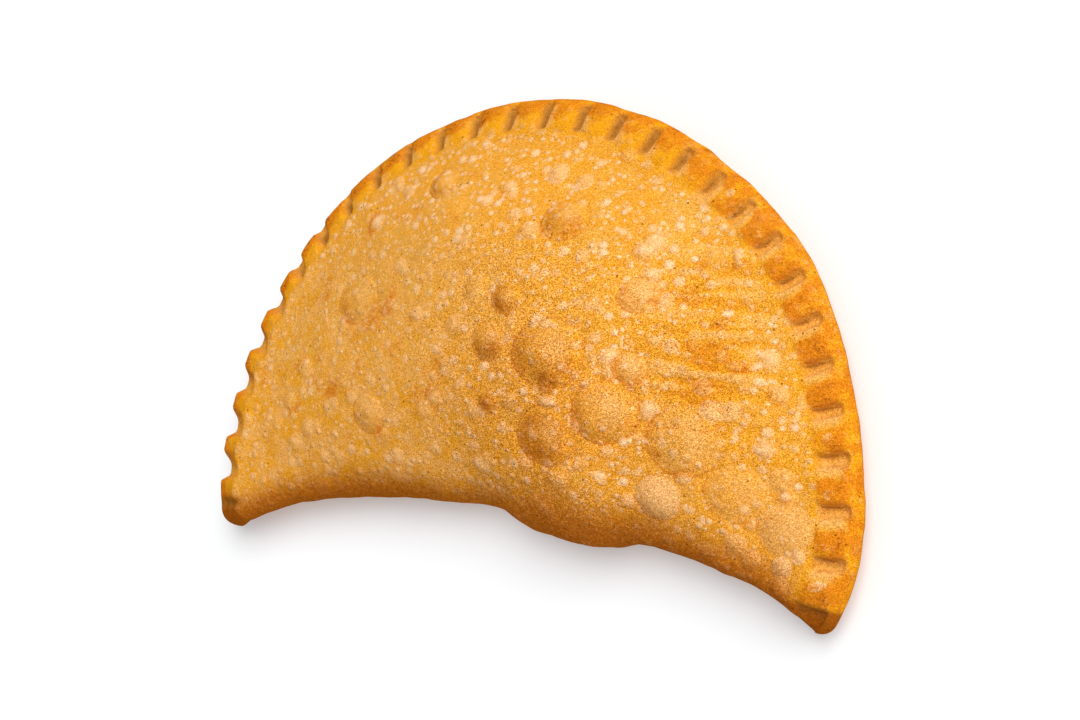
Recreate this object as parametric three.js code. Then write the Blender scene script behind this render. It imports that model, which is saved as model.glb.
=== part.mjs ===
// A fried half-moon turnover: a round of dough folded in half over its filling, its two edges
// pressed together into a crimped rim. It lies on its flat underside with the domed side up.
// Millimetres, +Z up. X runs along the fold and +Y points from the fold to the top of the rim.
import * as THREE from "three";
import { ParametricGeometry } from "three/addons/geometries/ParametricGeometry.js";
import { mergeGeometries, mergeVertices } from "three/addons/utils/BufferGeometryUtils.js";

const { clamp, degToRad, lerp, smoothstep } = THREE.MathUtils;

// Rim outline, about the centre of the dough round
const RIM_RADIUS = 71;
const TIP_DRAW = [3.5, 1.7]; // how far the rim draws in towards the right and the left tip
const TIP_EASE = degToRad(12.5); // stretch of rim that draws in
const NOSE_DRAW = [2.5, 4.2]; // each tip is then rounded off by this much
const NOSE_EASE = [degToRad(2.2), degToRad(3)];
const KNOB = 1.1; // crimps push the outline out by this much at the left end
const KNOB_FROM = [5, 12]; // crimps over which the knobs grow

// Where the edge leaves the circle: [place, spread, amount], places counted in crimps
const WAVERS = [
  [-10.5, 1.2, -0.4],
  [-7, 1, 0.55],
  [-3.7, 1.5, -0.4],
  [5.2, 1.2, 0.45],
];

// Crimps, counted in pitches from the top of the rim
const CRIMP_COUNT = 29;
const CRIMP_PITCH = degToRad(6.75);
const CRIMP_LEAN = degToRad(0.9); // the row is turned towards the right tip
const CRIMP_BUNCH = degToRad(0.8); // crimps sit closer together on one half than on the other
const CRIMP_SHIFT = [-11.3, 1.6, degToRad(0.9)]; // moved along here: place, spread, amount
const PLAIN_END = 0.375; // uncrimped dough at each tip, in pitches
const TIP_PITCHES = CRIMP_COUNT / 2 + PLAIN_END;
const LAST_CRIMP = (CRIMP_COUNT - 1) / 2;
const CRIMP_STEP = [-0.4, -0.28]; // steep side of a crimp, in pitches from its middle
const CRIMP_SLOPE = [0.3, 0.5]; // gentle side
const KNOB_STEP = [-0.36, -0.16]; // the same for the rounder crimps at the left end
const KNOB_SLOPE = [0.1, 0.5];
const SLOT_DEPTH = 2.5; // of the groove pressed between two crimps, at its inner end
const SLOT_RAMP = 0.4; // share of the depth that is gained inwards
const SLOT_OPEN = 2.4; // at the left end grooves start this much further out
const SLOT_OUTER = [0.4, 2]; // a groove starts this far in from the edge
const SLOT_INNER = [5.2, 6.2]; // and ends this far in
const SLOT_CLEAR = [5, 8]; // grooves die out this close to the left tip

// Fold line from tip to tip
const FOLD_RISE = 11.4; // height of its arch, in plan
const FOLD_ROUND = 0.68; // share of the arch that is a parabola
const FOLD_POWER = [20, 6]; // the rest falls off close to the right and the left tip
const BULGE_X = 15.5; // the filling pushes the fold out here
const BULGE_SPREAD = 12.6;
const BULGE_DEPTH = 2.9;
const LOBE_DEPTH = 1.4; // beside the left tip the fold hangs lower
const LOBE_FROM = 0.8; // the drop sets in over this length
const LOBE_FADE = 9; // and fades over this one

// Section of the rim
const RIM_WIDTH = 7;
const RIM_DROOP = Math.tan(degToRad(20)); // fall towards the edge
const RIM_EDGE_HEIGHT = 4.5; // of the seam above the table
const RIM_UPPER = 2.3; // dough above the seam
const RIM_LOWER = 1.9; // dough below the seam
const RIM_ROUND = 2; // rounding of the edge
const NOSE_ROUND = 3; // rounding along the fold
const TIP_DROOP = 2; // the right tip sags by this much
const TIP_REACH = 7; // and the sag starts this far from it

// Section of the filled part
const DOME_RADIUS = 67.5;
const DOME_RISE = 13; // above the seam
const DOME_POWER = 1.1;
const DOME_PEAK = 0.556; // largest value of the bare dome formula
const BELLY_DEPTH = 16; // below the seam, before the table flattens it
const TABLE_BLEND = 2; // softness of the turn into the flat underside
const RIM_BLEND = 1.6; // softness of the turn from rim to dome
const CREASE_DEPTH = 1.2; // how far the dome dips under the rim where they meet
const CREASE_WIDTH = 4;

// Large blisters: [x, y, radius, height], from the centre of the dough round
const BLISTER_STRETCH = 1.2; // they are longer along X
const BLISTERS = [
  [15.2, 26.5, 5.8, 1.6],
  [2.5, 27.3, 3.3, 0.9],
  [27.2, 18.5, 5.4, 1.6],
  [16, 13.2, 4.8, 1.1],
  [29.6, 37.7, 3.1, 1.1],
  [30.4, 25.6, 2.5, 0.7],
  [12, 49.1, 3.6, 0.9],
  [5, 34.9, 2.8, 0.7],
  [37.1, 5.7, 3.7, 1],
  [41.6, 15.2, 5.6, 0.7],
  [50.9, 8, 4.7, 0.7],
  [59.9, 3.6, 4.5, 0.7],
  [-33, 32.3, 4.6, 0.5],
  [-26.5, 12.7, 3.5, 0.4],
];

// Facets
const TIP_STATIONS = 6; // crowded stations at each tip, in place of half as many even ones
const STATIONS = 4 * 2 * TIP_PITCHES + TIP_STATIONS; // four to a crimp
const RIM_ROWS = 6;
const DOME_ROWS = 26;
const UNDER_RIM_ROWS = 4;
const UNDER_ROWS = 9;
const RIM_BAND = 7.8; // the rows of the rim reach this far in
const RIM_CROWDING = 1.5; // rows crowd towards the edge
const NOSE_CROWDING = 1.6; // rows crowd towards the fold
const BAND_EASE = 0.025; // share of the rim over which the band narrows to a tip

// Angle of the rim at a place counted in crimps from its top
function crimpAngle(place) {
  const [at, spread, amount] = CRIMP_SHIFT;
  const shift = amount * bell((place - at) / spread);
  const bunch = CRIMP_BUNCH * Math.cos((2 * Math.PI * place) / (CRIMP_COUNT - 1));
  return Math.PI / 2 + CRIMP_PITCH * place - CRIMP_LEAN - bunch + shift;
}

// The inverse, by repeated substitution
function crimpPlace(angle) {
  let place = (angle - Math.PI / 2) / CRIMP_PITCH;
  for (let pass = 0; pass < 3; pass++) place += (angle - crimpAngle(place)) / CRIMP_PITCH;
  return place;
}

const RIGHT_END = crimpAngle(-TIP_PITCHES);
const LEFT_END = crimpAngle(TIP_PITCHES);

// 1 at the middle, falling to 0 on both sides
function bell(away) {
  return Math.exp((-away * away) / 2);
}

// A quarter-round from 0 to 1
function roundOver(share) {
  return Math.sqrt(1 - (1 - clamp(share, 0, 1)) ** 2);
}

// The larger of two heights, with the corner between them rounded off
function softMax(a, b, softness) {
  const width = Math.max(softness, 1e-6);
  const share = clamp(0.5 + (0.5 * (a - b)) / width, 0, 1);
  return lerp(b, a, share) + width * share * (1 - share);
}

// 1 on top of a crimp, with a step up from the groove on its right and a slope down on its left
function crimpRise(place) {
  if (place < -CRIMP_COUNT / 2) return 0;
  const at = Math.min(place, LAST_CRIMP);
  const off = at - Math.round(at);
  const knobbed = smoothstep(at, ...KNOB_FROM);
  const step = CRIMP_STEP.map((edge, i) => lerp(edge, KNOB_STEP[i], knobbed));
  const slope = CRIMP_SLOPE.map((edge, i) => lerp(edge, KNOB_SLOPE[i], knobbed));
  return smoothstep(off, ...step) * (1 - smoothstep(off, ...slope));
}

function rimRadius(angle) {
  const place = crimpPlace(angle);
  const knob = KNOB * (crimpRise(place) - 0.5);
  let radius = RIM_RADIUS + knob * smoothstep(place, ...KNOB_FROM);
  for (const [at, spread, amount] of WAVERS) radius += amount * bell((place - at) / spread);
  [angle - RIGHT_END, LEFT_END - angle].forEach((left, end) => {
    radius -= TIP_DRAW[end] * clamp(1 - left / TIP_EASE, 0, 1) ** 2;
    radius -= NOSE_DRAW[end] * (1 - roundOver(left / NOSE_EASE[end]));
  });
  return radius;
}

function rimPoint(angle, inset) {
  return new THREE.Vector2(Math.cos(angle), Math.sin(angle)).multiplyScalar(rimRadius(angle) - inset);
}

const RIGHT_TIP = rimPoint(RIGHT_END, 0);
const LEFT_TIP = rimPoint(LEFT_END, 0);

// Point of the fold at a share of the way from the right tip to the left one; its arch runs on past them
function foldPoint(share) {
  const point = RIGHT_TIP.clone().lerp(LEFT_TIP, share);
  const out = Math.abs(2 * share - 1);
  const power = FOLD_POWER[share < 0.5 ? 0 : 1];
  const arch = 1 - lerp(out ** power, out ** 2, FOLD_ROUND);
  const bulge = Math.exp(-(((point.x - BULGE_X) / BULGE_SPREAD) ** 4));
  const beside = Math.max(point.x - LEFT_TIP.x, 0);
  const lobe = Math.exp(-beside / LOBE_FADE) - Math.exp(-beside / LOBE_FROM);
  point.y += FOLD_RISE * arch - BULGE_DEPTH * bulge - LOBE_DEPTH * lobe;
  return point;
}

function blisterRelief(x, y) {
  const caps = BLISTERS.map(([cx, cy, radius, height]) => {
    const away = Math.hypot((x - cx) / BLISTER_STRETCH, y - cy) / radius;
    return height * Math.max(1 - away * away, 0) ** 1.5;
  });
  return Math.max(...caps);
}

// Heights of the upper and lower skin over a point of the plan
function skinHeights(x, y) {
  const radius = Math.hypot(x, y);
  const turned = Math.atan2(y, x);
  const angle = turned < -Math.PI / 2 ? turned + 2 * Math.PI : turned;
  const place = crimpPlace(angle);
  const inset = Math.max(rimRadius(angle) - radius, 0);
  const foldGap = Math.max(y - foldPoint((RIGHT_TIP.x - x) / (RIGHT_TIP.x - LEFT_TIP.x)).y, 0);
  const swell = roundOver(foldGap / NOSE_ROUND) * roundOver(inset / RIM_ROUND);
  const [rightGap, leftGap] = [RIGHT_TIP, LEFT_TIP].map((tip) => Math.hypot(x - tip.x, y - tip.y));
  const sag = TIP_DROOP * clamp(1 - rightGap / TIP_REACH, 0, 1) ** 1.5;
  const seam = RIM_EDGE_HEIGHT + RIM_DROOP * Math.min(inset, RIM_WIDTH) - sag;

  const within = Math.max(1 - (radius / DOME_RADIUS) ** 2, 0) * clamp(inset / RIM_ROUND, 0, 1);
  const dome = (Math.sqrt(foldGap / DOME_RADIUS) * within ** DOME_POWER) / DOME_PEAK;
  const crease = CREASE_DEPTH * swell * (1 - smoothstep(DOME_RADIUS - radius, 0, CREASE_WIDTH));
  const opened = inset + SLOT_OPEN * smoothstep(place, ...KNOB_FROM);
  const slotSpan = smoothstep(opened, ...SLOT_OUTER) * (1 - smoothstep(inset, ...SLOT_INNER));
  const slotFloor = SLOT_DEPTH * (1 - SLOT_RAMP * clamp(1 - opened / SLOT_INNER[0], 0, 1));
  const slot = slotFloor * slotSpan * smoothstep(leftGap, ...SLOT_CLEAR) * (1 - crimpRise(place));

  const rimTop = seam + swell * (RIM_UPPER - slot);
  const domeTop = seam + DOME_RISE * dome - crease;
  const upper = softMax(rimTop, domeTop, RIM_BLEND * swell) + swell * blisterRelief(x, y);

  const rimUnder = seam - swell * RIM_LOWER;
  const bellyUnder = seam - BELLY_DEPTH * dome + crease;
  const under = -softMax(-rimUnder, -bellyUnder, RIM_BLEND * swell);
  return { upper, lower: softMax(under, 0, TABLE_BLEND) };
}

// Point of the plan: along the rim by share, and from its edge (0) over the band (1) to the fold (2)
function planPoint(share, depth) {
  const angle = crimpAngle(lerp(-TIP_PITCHES, TIP_PITCHES, share));
  const narrowing = Math.min(share / BAND_EASE, (1 - share) / BAND_EASE, 1);
  const inset = RIM_BAND * narrowing * Math.min(depth, 1) ** RIM_CROWDING;
  const toFold = (2 - Math.max(depth, 1)) ** NOSE_CROWDING;
  return foldPoint(share).lerp(rimPoint(angle, inset), toFold);
}

// Even stations along the rim, crowded by a square law at both ends
function stationShare(station) {
  const near = Math.min(station, STATIONS - station);
  const even = near < TIP_STATIONS ? near ** 2 / TIP_STATIONS / 2 : near - TIP_STATIONS / 2;
  const share = even / (STATIONS - TIP_STATIONS);
  return station < STATIONS / 2 ? share : 1 - share;
}

// One skin as a grid: rows run from tip to tip, the first on the rim's edge and the last on the fold
function skin(side, rimRows, innerRows) {
  const rows = rimRows + innerRows;
  const point = (u, v, target) => {
    const station = Math.round(u * STATIONS);
    const row = Math.round(v * rows);
    const depth = row < rimRows ? row / rimRows : 1 + (row - rimRows) / innerRows;
    const { x, y } = planPoint(stationShare(side === "upper" ? station : STATIONS - station), depth);
    target.set(x, y, skinHeights(x, y)[side]);
  };
  return new ParametricGeometry(point, STATIONS, rows);
}

// Joins the skins along the seam, and drops the triangles that close up at the tips
function weld(parts) {
  const loose = mergeGeometries(parts);
  loose.deleteAttribute("normal");
  loose.deleteAttribute("uv");
  const joined = mergeVertices(loose, 1e-4);
  const kept = [];
  for (let i = 0; i < joined.index.count; i += 3) {
    const corners = [0, 1, 2].map((k) => joined.index.getX(i + k));
    if (new Set(corners).size === 3) kept.push(...corners);
  }
  joined.setIndex(kept);
  joined.computeVertexNormals();
  return joined;
}

const crust = weld([skin("upper", RIM_ROWS, DOME_ROWS), skin("lower", UNDER_RIM_ROWS, UNDER_ROWS)]);
crust.computeBoundingBox();
const middle = crust.boundingBox.getCenter(new THREE.Vector3());

const pastry = new THREE.Mesh(
  crust,
  new THREE.MeshStandardMaterial({ color: 0xd99a3f, roughness: 0.65, metalness: 0 }),
);
pastry.name = "pastry";
pastry.position.set(-middle.x, -middle.y, 0);

const turnover = new THREE.Group();
turnover.add(pastry);

export default turnover;
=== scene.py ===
"""A fried half-moon turnover: its blistered crust, its finish and the pale stage it is shown on.

Laid out as a Blender add-on and run as a script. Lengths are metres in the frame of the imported
model: X along the fold, +Y from the fold to the top of the rim, +Z up from the table.
"""

import math
from functools import partialmethod
from types import SimpleNamespace

import bpy
import numpy as np
from bpy.props import FloatProperty, FloatVectorProperty, IntProperty, PointerProperty
from mathutils import Matrix, Vector


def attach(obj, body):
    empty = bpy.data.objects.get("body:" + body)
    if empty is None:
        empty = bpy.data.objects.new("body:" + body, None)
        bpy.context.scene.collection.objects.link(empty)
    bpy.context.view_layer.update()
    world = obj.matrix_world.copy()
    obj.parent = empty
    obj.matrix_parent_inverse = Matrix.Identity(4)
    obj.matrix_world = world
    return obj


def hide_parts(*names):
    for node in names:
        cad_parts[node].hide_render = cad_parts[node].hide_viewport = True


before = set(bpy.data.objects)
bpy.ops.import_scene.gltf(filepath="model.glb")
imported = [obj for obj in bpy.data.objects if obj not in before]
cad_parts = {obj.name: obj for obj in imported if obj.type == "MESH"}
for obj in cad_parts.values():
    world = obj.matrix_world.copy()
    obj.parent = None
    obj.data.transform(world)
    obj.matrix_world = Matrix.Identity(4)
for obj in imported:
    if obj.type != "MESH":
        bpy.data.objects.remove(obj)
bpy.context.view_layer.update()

bl_info = {
    "name": "Fried Turnover",
    "version": (1, 0, 0),
    "blender": (4, 5, 0),
    "location": "3D View > Sidebar > Turnover",
    "description": "Builds the blistered crust of a fried half-moon turnover and its stage",
    "category": "Object",
}

MM = 0.001


def mm(*sizes):
    """Lengths given in millimetres."""
    return tuple(size * MM for size in sizes)


# Rim outline, as in the solid but for a blunter left tip: pairs are for the right and the left
TIP_DRAW = mm(3.5, 1.7)
TIP_EASE = math.radians(12.5)
NOSE_DRAW = mm(2.5, 3.7)
NOSE_EASE = (math.radians(2.2), math.radians(3))
KNOB = 1.1 * MM
KNOB_FROM = (5, 12)

# Where the edge leaves the circle: place in crimps, spread, amount
WAVERS = (
    (-10.5, 1.2, -0.4 * MM),
    (-7, 1, 0.55 * MM),
    (-3.7, 1.5, -0.4 * MM),
    (5.2, 1.2, 0.45 * MM),
)

# Crimps, as in the solid
CRIMP_LEAN = math.radians(0.9)
CRIMP_BUNCH = math.radians(0.8)
PLAIN_END = 0.375
CRIMP_SHIFT = (-11.3, 1.6, math.radians(0.9))
CRIMP_STEP = (-0.4, -0.28)
CRIMP_SLOPE = (0.3, 0.5)
KNOB_STEP = (-0.36, -0.16)
KNOB_SLOPE = (0.1, 0.5)
SLOT_RAMP = 0.4
SLOT_OPEN = 2.4 * MM
SLOT_OUTER = mm(0.4, 2)
SLOT_INNER = mm(5.2, 6.2)
SLOT_CLEAR = mm(5, 8)

# Fold line, as in the solid but for a softer lobe at the left tip
FOLD_ROUND = 0.68
FOLD_POWER = (20, 6)
BULGE_X = 15.5 * MM
BULGE_SPREAD = 12.6 * MM
BULGE_DEPTH = 2.9 * MM
LOBE_DEPTH = 1.8 * MM
LOBE_FROM = 3 * MM
LOBE_FADE = 9 * MM

# Section, as in the solid
RIM_ROUND = 2 * MM
NOSE_ROUND = 3 * MM
TIP_DROOP = 2 * MM
TIP_REACH = 7 * MM
SAG_POWER = 1.5
DOME_POWER = 1.1
DOME_PEAK = 0.556
TABLE_BLEND = 2 * MM
RIM_BLEND = 1.6 * MM
CREASE_DEPTH = 1.2 * MM
CREASE_WIDTH = 4 * MM

# Grid of the crust: stations along the rim, and rows round each section
STATIONS = 500
TIP_STATIONS = 24
UPPER_ROWS = 166
UNDER_ROWS = 32
EVEN_UNDER = 0.3
RIM_BAND = 7.8 * MM
BAND_EASE = 0.025

# Large blisters, in millimetres about the centre of the dough round:
# x, y, radius, height, browning of the ring, browning (+) or paleness (-) of the crown
BLISTER_STRETCH = 1.2
BLISTERS = (
    (15, 26.5, 5.8, 1.6, 0.65, 0.18),
    (2.5, 27.5, 3.3, 0.9, 0.5, 0.55),
    (27, 18, 5, 1.6, 0.65, -0.1),
    (16, 13, 4.8, 1.1, 0.65, 0.45),
    (29.5, 37.5, 3.1, 1.1, 0.5, -0.3),
    (30.5, 25.5, 2.6, 0.9, 0.6, -0.25),
    (12, 49, 3.6, 1, 0.65, 0.3),
    (5, 35, 2.8, 0.7, 0.5, 0.5),
    (37, 5.5, 3.7, 1, 0.2, -0.6),
    (41.5, 15, 5.6, 0.9, 0.45, -0.15),
    (51, 8, 4.7, 0.7, 0.3, -0.14),
    (60, 3.5, 4.5, 0.7, 0.25, -0.32),
    (-33, 32.5, 4.6, 0.7, 0.4, 0.12),
    (-26.5, 12.5, 3.5, 0.6, 0.45, -0.1),
    (3.5, 17, 2, 0.3, 0.2, 0.8),
    (15.5, 21.5, 2.2, 0.2, 0.1, 0.6),
    (-2.5, 36, 2.8, 0.5, 0.3, 0.0),
    (-19, 54.5, 3, 0.8, 0.6, 0.12),
    (45, 20.5, 1.9, 0.5, 0.1, -0.6),
    (48.5, 21, 1.6, 0.4, 0.1, -0.5),
    (58, 11, 2.2, 0.5, 0.1, -0.25),
    (51, 0, 1.9, 0.5, 0.1, -0.45),
    (54, -2, 1.8, 0.5, 0.1, -0.5),
    (60, -2.5, 1.8, 0.5, 0.1, -0.7),
    (60, -5.5, 1.8, 0.5, 0.1, -0.5),
    (63, -0.5, 1.3, 0.3, 0.1, -0.7),
    (67, -4.5, 1, 0.25, 0.1, -0.9),
    (40.5, 44, 2.6, 0.5, 0.4, 0.1),
    (6.5, 57, 1.9, 0.5, 0.1, -0.6),
    (12.5, 56, 1.5, 0.4, 0.1, -0.5),
    (43, 24, 1.5, 0.4, 0.1, -0.55),
    (37, 30, 1.3, 0.3, 0.1, -0.6),
    (-32.5, 54, 1.5, 0.4, 0.1, -0.4),
    (-28, 52.5, 1.3, 0.4, 0.1, -0.5),
)

# Dome of a large blister: its power, and the place, width and depth of the moat round it, in shares
BLISTER_POWER = 1.5
MOAT = (1.02, 0.12, 0.1)

# How far uneven dough shifts the large blisters, and the size of the unevenness
BLISTER_DRIFT = 0.35 * MM
DRIFT_CELL = 6 * MM

# The strewn blisters are longer along X too: their pattern is drawn in this scaled space
PATTERN = (0.8, 1, 1)
STREWN_CELL = 3.8 * MM
STREWN_RADII = mm(0.8, 2)
CROWD_CELL = 9 * MM

# Plan direction that the lit sides of the blisters face, which sets their painted shade and highlights
LIT_SIDE = (0.85, 0.5)

# Primes that scatter the cells of a lattice over a table of random draws
CELL_PRIMES = (73856093, 19349663, 83492791)
CELL_DRAWS = 8192

# Layers of uneven height: size of a lump, its height, its draw
LUMPS = ((17 * MM, 0.5 * MM, 7), (8 * MM, 0.22 * MM, 8), (3.5 * MM, 0.14 * MM, 9))
UNEVEN_EDGE = ((4.5 * MM, 0.22 * MM, 15), (2 * MM, 0.11 * MM, 16))

# Sizes of the uneven spots on the domes, in the browning in spots and in the even browning
DOME_CELL = 3 * MM
SPOT_CELL = 1.6 * MM
CLOUD_CELL = 4 * MM
PATCH_CELL = 2.2 * MM

# Oval regions about the centre of the dough round: x, y, spread along x, spread along y
WRINKLES = mm(43, 30, 7, 11)
BROWNED_MIDDLE = mm(13, 17, 14, 10)
GRITTY_MIDDLE = mm(18, 22, 16, 16)
DULL_CORNER = mm(-24, 42, 18, 14)

# Places along x or y between which the finish changes
ROUGHER_X = mm(-20, 15)
GRITTIER_X = mm(-25, 5)
FROTHIER_X = mm(-25, 35)
FROTHIER_Y = mm(33, 50)
FROTHIEST_X = mm(20, 45)
FROTHIEST_Y = mm(15, 40)
SMOOTHER_Y = mm(38, 52)
# Painted shade: the even browning deepens along y and fades out along x between these
SHADE_FROM_Y = mm(15, 45)
SHADE_FADES_X = mm(25, 45)

# Streaks of the wrinkles: how much they are drawn out along x, slant, width, contrast, height
STREAK_DRAW = 0.15
STREAK_SLANT = 0.04
STREAK_WIDTH = 1.1 * MM
STREAK_CONTRAST = 2.2
STREAK_HEIGHT = 0.2 * MM

# Browned strip along the fold: its reach, wider at the bulge and on the right, narrower at the arch
STRIP_REACH = 7.2 * MM
STRIP_BULGE = mm(15, 8, 6.5)
STRIP_ARCH = mm(-5, 8)
STRIP_NARROWER = 1.6 * MM
STRIP_RIGHT = mm(20, 40)
STRIP_WIDER = 1.5 * MM
FOLD_WARMTH = mm(4, 26)

# Browned tips: distances from a tip, and the right one's end in crimps
TIP_FADE = mm(2, 8)
TIP_CALM = mm(6, 14)
RIGHT_END_PLACE = (-14.4, -14.25)
RIGHT_END_REACH = mm(9, 13)
TIP_BAKE = 1.4

# Where the look of the crimps changes, counted from the top of the rim
RIGHT_FROM = (2, 6)
LEFT_FROM = (3, 9)
TOASTED_FROM = (-1, 4)
WIDER_FROM = (-1, 6)
FAINTER_FROM = (7, 11)

# Finish across a crimp: off its middle in pitches, in from its edge in metres
BAND_OUTER = mm(0.9, 2)
SQUARE_RIGHT = (-0.36, -0.3)
SQUARE_LEFT = (0.06, 0.22)
BRINK_LEFT = (0.05, 0.25)
BRINK_REACH = mm(1.5, 5)
BLOT_SPREAD = (0.14, 1.2 * MM)
TOAST_REACH = mm(2, 5)
# Painted highlight on the up-facing slope of a crimp: its place and spread in pitches
RIDGE_HIGHLIGHT = (0.32, 0.1)
PAD_SPREAD = 0.22
PAD_RISE = 0.4 * MM
DOT_RADIUS = 0.85 * MM
DOT_RISE = 0.2 * MM
CRIMP_DRAWS = 64

# Crease beside the left tip: place and spread in crimps, reach in from the edge, depth
TIP_CREASE = (14.35, 0.08)
TIP_CREASE_REACH = mm(6, 10)
TIP_CREASE_DEEPENS = mm(0.3, 3)
TIP_CREASE_DEPTH = 0.7 * MM

# Width over which the pressed rim passes into the blistered dome
RIM_FADE = mm(5, 8)

# Heights above the table over which the relief and the uneven edge set in
RELIEF_LIFT = mm(0.2, 3)
EDGE_LIFT = mm(0.5, 3)

# Noises of the finish: features to the millimetre, detail, roughness
NOISES = {
    "broad": (0.1, 3.0, 0.5),
    "mottle": (0.5, 4.0, 0.62),
    "patches": (0.28, 3.0, 0.6),
    "pebbles": (1.1, 2.0, 0.6),
    "crumb": (1.8, 3.0, 0.65),
}
SPECKS_PER_MM = 9.5
PITS_PER_MM = 0.8

# Small bubbles drawn in the material: cells to the millimetre, share that is kept; radii in cells
SMALL_BUBBLES = (0.52, 0.85)
FINE_BUBBLES = (1.0, 0.7)
BUBBLE_RADII = (0.26, 0.58)

# Bump, in millimetres
MOTTLE_RISE = 0.12
SMALL_RISE = 0.22
FINE_RISE = 0.08
PIT_DEPTH = 0.08

# Stage: the floor lies just below the underside, so that no two faces coincide
FLOOR_DROP = 0.1 * MM
WHITE = (1, 1, 1)
FILM_WIDTH = 36


def length(name, description, default):
    """A setting that is a length."""
    return FloatProperty(
        name=name, description=description, default=default, unit="LENGTH", precision=4)


def degrees(name, description, default):
    """A setting that is an angle, given in degrees."""
    return FloatProperty(
        name=name, description=description, default=math.radians(default), subtype="ANGLE")


def tint(name, description, default):
    """A setting that is a colour."""
    return FloatVectorProperty(
        name=name, description=description, default=default, subtype="COLOR", size=3, min=0, max=1)


class TurnoverForm(bpy.types.PropertyGroup):
    """Sizes of the turnover"""

    rim_radius: length("Rim radius", "From the dough round's centre to the edge", 71 * MM)
    crimp_count: IntProperty(
        name="Crimps", description="Raised crimps along the rim", default=29, min=3)
    crimp_pitch: degrees("Crimp pitch", "Angle from one crimp to the next", 6.75)
    slot_depth: length("Groove depth", "Depth of the grooves pressed between the crimps", 2.5 * MM)
    rim_width: length("Rim width", "Width of the pressed rim", 7 * MM)
    rim_droop: degrees("Rim droop", "Fall of the rim towards its edge", 20)
    rim_edge_height: length("Edge height", "Height of the seam's edge above the table", 4.5 * MM)
    rim_upper: length("Dough above the seam", "Thickness of the rim above its seam", 2.3 * MM)
    rim_lower: length("Dough below the seam", "Thickness of the rim below its seam", 1.9 * MM)
    fold_rise: length("Fold rise", "Height of the fold's arch in plan", 11.4 * MM)
    dome_radius: length("Dome radius", "Reach of the filled dome", 67.5 * MM)
    dome_rise: length("Dome rise", "Height of the dome above the seam", 13 * MM)
    belly_depth: length(
        "Belly depth", "Depth of the underside before the table flattens it", 16 * MM)
    seed: IntProperty(
        name="Seed", description="Draw of the small blisters", default=11)


class TurnoverLook(bpy.types.PropertyGroup):
    """Colours of the fried crust and of its painted shade and highlights"""

    golden: tint("Golden", "Most of the crust", (0.79, 0.385, 0.042))
    amber: tint("Amber", "Deeper gold between the blisters", (0.80, 0.33, 0.007))
    # Pale is also laid on as a painted highlight on the lit sides of the large blisters and the crimps'
    # ridges
    pale: tint("Pale", "Tops of the blisters", (0.85, 0.52, 0.24))
    # Orange, brown and bake also carry the painted shade laid on with the browning
    orange: tint("Orange", "Lightly browned crust", (0.68, 0.205, 0.006))
    brown: tint("Brown", "Well browned crust", (0.30, 0.075, 0.004))
    bake: tint(
        "Bake", "Evenly browned dough along the fold and at the tips", (0.39, 0.107, 0.005))
    tan: tint("Tan", "Pressed dough in the grooves and duller crust", (0.66, 0.37, 0.10))
    # Painted shade in the foot of the grooves beside the crimps and in the crease by the left tip
    slot: tint("Slot", "Depth of the grooves, beside the crimps", (0.26, 0.105, 0.015))
    # Painted highlights on the tops of the bubbles, with the brightest specks of grain
    highlight_and_speck: tint("Frost", "Bright specks, most of all on the blisters", (0.92, 0.59, 0.33))
    pore: tint("Pore", "Burnt specks", (0.12, 0.03, 0.003))
    roughness: FloatProperty(
        name="Roughness", description="Gloss of the fried surface",
        default=0.5, min=0, max=1, subtype="FACTOR")


class TurnoverStage(bpy.types.PropertyGroup):
    """Floor, light and camera"""

    floor: tint("Floor", "Colour of the floor", (0.77, 0.785, 0.795))
    floor_glow: FloatProperty(
        name="Floor glow", description="Light that comes through the floor", default=0.25, min=0)
    floor_size: length("Floor size", "Width of the floor", 8)
    key_strength: FloatProperty(
        name="Key light", description="Strength of the main light", default=2.7, min=0)
    key_softness: degrees("Softness", "How wide the main light is", 50)
    key_from: FloatVectorProperty(
        name="Light from", description="Direction that the main light comes from", subtype="DIRECTION",
        size=3, default=(0.55, 0.45, 0.8))
    fill_strength: FloatProperty(
        name="Fill light", description="Strength of the even light all round", default=0.38, min=0)
    camera_from: FloatVectorProperty(
        name="Camera", description="Place of the camera, from the dough round's centre",
        subtype="TRANSLATION", size=3, default=mm(283.7, 13, 341.6))
    camera_aim: FloatVectorProperty(
        name="Aim", description="Point at the middle of the picture, from the dough round's centre",
        subtype="TRANSLATION", size=3, default=mm(12.5, 25.2, 17.5))
    camera_turn: degrees("Turn", "How far the picture's upright is turned from +Y on the table", 10.3)
    lens: FloatProperty(
        name="Lens", description="Focal length on a 36 mm frame", default=85.2, min=1, unit="CAMERA")


def ease(low, high, value):
    """Rises smoothly from 0 at low to 1 at high."""
    share = np.clip((value - low) / (high - low), 0, 1)
    return share * share * (3 - 2 * share)


def bell(value, middle, spread, height=1):
    """A height at the middle, falling to 0 on both sides."""
    return height * np.exp(-(((value - middle) / spread) ** 2) / 2)


def round_over(share):
    """A quarter-round from 0 to 1."""
    return np.sqrt(1 - (1 - np.clip(share, 0, 1)) ** 2)


def soft_max(a, b, softness):
    """The larger of two heights, with the corner between them rounded off."""
    width = np.maximum(softness, 1e-9)
    share = np.clip(0.5 + 0.5 * (a - b) / width, 0, 1)
    return b + (a - b) * share + width * share * (1 - share)


def tip_pitches(form):
    """Crimp pitches from the top of the rim to a tip."""
    return form.crimp_count / 2 + PLAIN_END


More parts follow.
